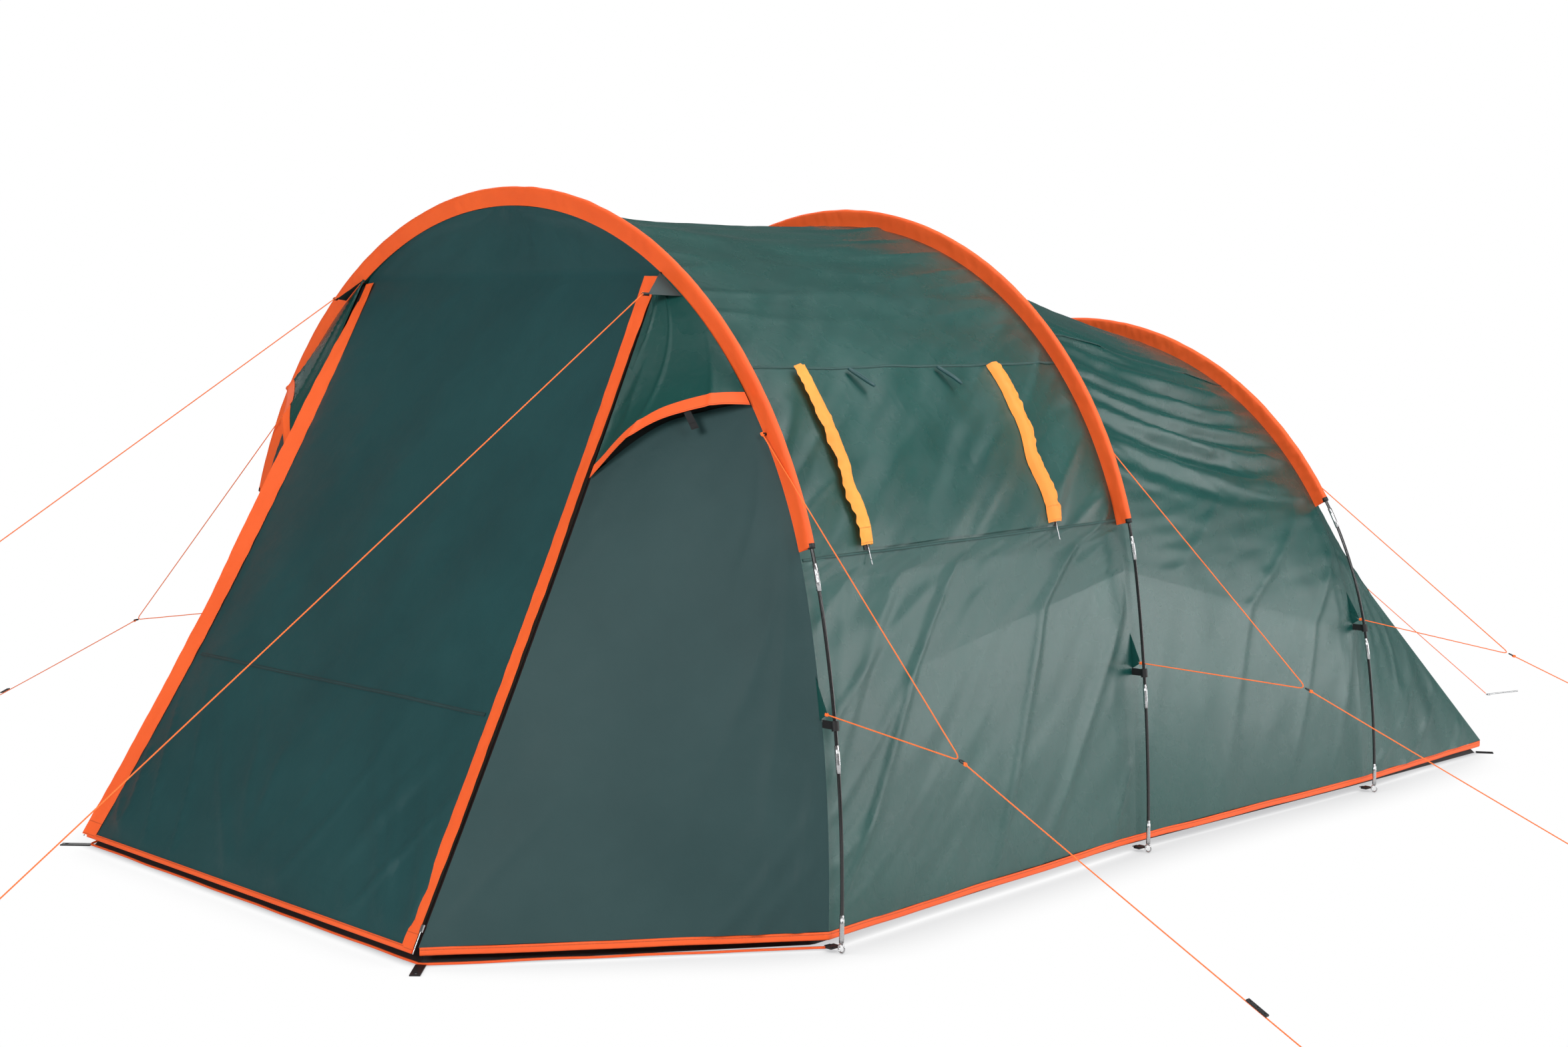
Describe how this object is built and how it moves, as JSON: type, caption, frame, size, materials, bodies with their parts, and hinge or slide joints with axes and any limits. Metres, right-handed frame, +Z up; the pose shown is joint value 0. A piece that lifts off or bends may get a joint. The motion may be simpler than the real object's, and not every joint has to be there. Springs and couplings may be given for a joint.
{
  "type": "tent on poles",
  "caption": "Tunnel tent on arched poles, with a zipped front door, side windows under roll-up covers, an inner bedroom and guyed-out pole sleeves.",
  "frame": {"origin": "on the ground, at the middle of the tent's width and of its length over the corner loops", "axes": "+Z up, -Y towards the front door, +X the tent's right-hand side"},
  "size_m": [6.4811, 7.5121, 1.9074],
  "materials": {
    "fly_fabric": "coated woven polyester, slightly glossy",
    "sleeve_fabric": "woven polyester",
    "orange_fabric": "woven polyester",
    "mesh_fabric": "fine mesh",
    "clear_film": "clear soft film",
    "black_webbing": "woven webbing and zip tape",
    "black_rods": "smooth wrapped glass-fibre",
    "plated_steel": "plated",
    "orange_cord": "braided cord",
    "elastic_cord": "braided elastic",
    "plastic": "moulded",
    "slider_metal": "die-cast, with a cord puller",
    "ground_fabric": "laminated polyethylene",
    "inner_fabric": "breathable polyester"
  },
  "bodies": {
    "tent": {"back_guy": "orange_cord", "back_side_panels": "fly_fabric", "back_wall": "fly_fabric", "bedroom_floor": "ground_fabric", "bedroom_front": "inner_fabric", "bedroom_walls": "inner_fabric", "corner_loops": "black_webbing", "door_crown": "fly_fabric", "front_bay_roof": "fly_fabric", "front_bay_walls": "fly_fabric", "front_left_guy": "orange_cord", "front_panels": "fly_fabric", "front_pole": "black_rods", "front_right_guy": "orange_cord", "front_sleeve": "sleeve_fabric", "ground_pegs": "plated_steel", "groundsheet": "ground_fabric", "guy_rings": "plastic", "guy_tabs": "black_webbing", "hem_binding": "orange_fabric", "left_front_guy": "orange_cord", "left_mid_guy": "orange_cord", "left_rear_guy": "orange_cord", "leg_webbing": "black_webbing", "mid_pole": "black_rods", "mid_sleeve": "sleeve_fabric", "pole_ferrules": "plated_steel", "rear_bay_roof": "fly_fabric", "rear_bay_walls": "fly_fabric", "rear_pole": "black_rods", "rear_sleeve": "sleeve_fabric", "right_front_guy": "orange_cord", "right_mid_guy": "orange_cord", "right_rear_guy": "orange_cord", "ring_and_pins": "plated_steel", "shock_cords": "elastic_cord", "vent_hoods": "fly_fabric", "vent_meshes": "mesh_fabric", "window_films": "clear_film", "zip_tapes": "black_webbing"},
    "door": {"door_panel": "fly_fabric", "door_bands": "orange_fabric"},
    "right_door_slider": {"right_door_slider": "slider_metal"},
    "left_door_slider": {"left_door_slider": "slider_metal"},
    "right_window_cover": {"right_window_cover": "fly_fabric"},
    "left_window_cover": {"left_window_cover": "fly_fabric"},
    "right_front_window_slider": {"right_front_window_slider": "slider_metal"},
    "right_rear_window_slider": {"right_rear_window_slider": "slider_metal"},
    "left_front_window_slider": {"left_front_window_slider": "slider_metal"},
    "left_rear_window_slider": {"left_rear_window_slider": "slider_metal"},
    "bedroom_door": {"bedroom_door": "inner_fabric"},
    "right_front_tensioner": {"right_front_tensioner": "plastic"},
    "right_mid_tensioner": {"right_mid_tensioner": "plastic"},
    "right_rear_tensioner": {"right_rear_tensioner": "plastic"},
    "left_front_tensioner": {"left_front_tensioner": "plastic"},
    "left_mid_tensioner": {"left_mid_tensioner": "plastic"},
    "left_rear_tensioner": {"left_rear_tensioner": "plastic"},
    "front_right_tensioner": {"front_right_tensioner": "plastic"},
    "front_left_tensioner": {"front_left_tensioner": "plastic"},
    "back_tensioner": {"back_tensioner": "plastic"}
  },
  "joints": [
    {"name": "door_hinge", "type": "hinge", "parent": "tent", "child": "door", "pos_m": [0, -1.2814, 1.6554], "axis": [-1, 0, 0], "range_deg": [0, 65]},
    {"name": "right_door_zip", "type": "slide", "parent": "tent", "child": "right_door_slider", "axis": [-0.0793, 0.4778, 0.8749], "range_m": [0, 1.55]},
    {"name": "right_cover_hinge", "type": "hinge", "parent": "tent", "child": "right_window_cover", "pos_m": [0.96924, -0.6485, 1.40602], "axis": [0.0526, -0.9986, -0.0008], "range_deg": [0, 100]},
    {"name": "right_front_window_zip", "type": "hinge", "parent": "tent", "child": "right_front_window_slider", "pos_m": [0.00561, -1.055, 0.5456], "axis": [0, -1, 0], "range_deg": [0, 20]},
    {"name": "right_rear_window_zip", "type": "hinge", "parent": "tent", "child": "right_rear_window_slider", "pos_m": [0.00161, -0.242, 0.60918], "axis": [0, -1, 0], "range_deg": [0, 21]},
    {"name": "left_door_zip", "type": "slide", "parent": "tent", "child": "left_door_slider", "axis": [0.0793, 0.4778, 0.8749], "range_m": [0, 1.55]},
    {"name": "left_cover_hinge", "type": "hinge", "parent": "tent", "child": "left_window_cover", "pos_m": [-0.96924, -0.6485, 1.40602], "axis": [0.0526, 0.9986, 0.0008], "range_deg": [0, 100]},
    {"name": "left_front_window_zip", "type": "hinge", "parent": "tent", "child": "left_front_window_slider", "pos_m": [-0.00561, -1.055, 0.5456], "axis": [0, 1, 0], "range_deg": [0, 20]},
    {"name": "left_rear_window_zip", "type": "hinge", "parent": "tent", "child": "left_rear_window_slider", "pos_m": [-0.00161, -0.242, 0.60918], "axis": [0, 1, 0], "range_deg": [0, 21]},
    {"name": "bedroom_door_hinge", "type": "hinge", "parent": "tent", "child": "bedroom_door", "pos_m": [-0.5, 0.1165, 0.7], "axis": [0, 0, -1], "range_deg": [0, 100]},
    {"name": "right_front_tensioner_slide", "type": "slide", "parent": "tent", "child": "right_front_tensioner", "axis": [0.8836, 0.0524, -0.4653], "range_m": [-0.25, 0.1]},
    {"name": "right_mid_tensioner_slide", "type": "slide", "parent": "tent", "child": "right_mid_tensioner", "axis": [0.895, 0.1611, -0.4159], "range_m": [-0.25, 0.1]},
    {"name": "right_rear_tensioner_slide", "type": "slide", "parent": "tent", "child": "right_rear_tensioner", "axis": [0.9098, 0.1813, -0.3734], "range_m": [-0.25, 0.1]},
    {"name": "left_front_tensioner_slide", "type": "slide", "parent": "tent", "child": "left_front_tensioner", "axis": [-0.9256, -0.0923, -0.367], "range_m": [-0.25, 0.1]},
    {"name": "left_mid_tensioner_slide", "type": "slide", "parent": "tent", "child": "left_mid_tensioner", "axis": [-0.895, 0.1611, -0.4159], "range_m": [-0.25, 0.1]},
    {"name": "left_rear_tensioner_slide", "type": "slide", "parent": "tent", "child": "left_rear_tensioner", "axis": [-0.9098, 0.1813, -0.3734], "range_m": [-0.25, 0.1]},
    {"name": "front_right_tensioner_slide", "type": "slide", "parent": "tent", "child": "front_right_tensioner", "axis": [0.0947, -0.8286, -0.5517], "range_m": [-0.25, 0.1]},
    {"name": "front_left_tensioner_slide", "type": "slide", "parent": "tent", "child": "front_left_tensioner", "axis": [-0.1208, -0.8197, -0.5599], "range_m": [-0.25, 0.1]},
    {"name": "back_tensioner_slide", "type": "slide", "parent": "tent", "child": "back_tensioner", "axis": [0.1944, 0.7949, -0.5748], "range_m": [-0.25, 0.1]}
  ]
}
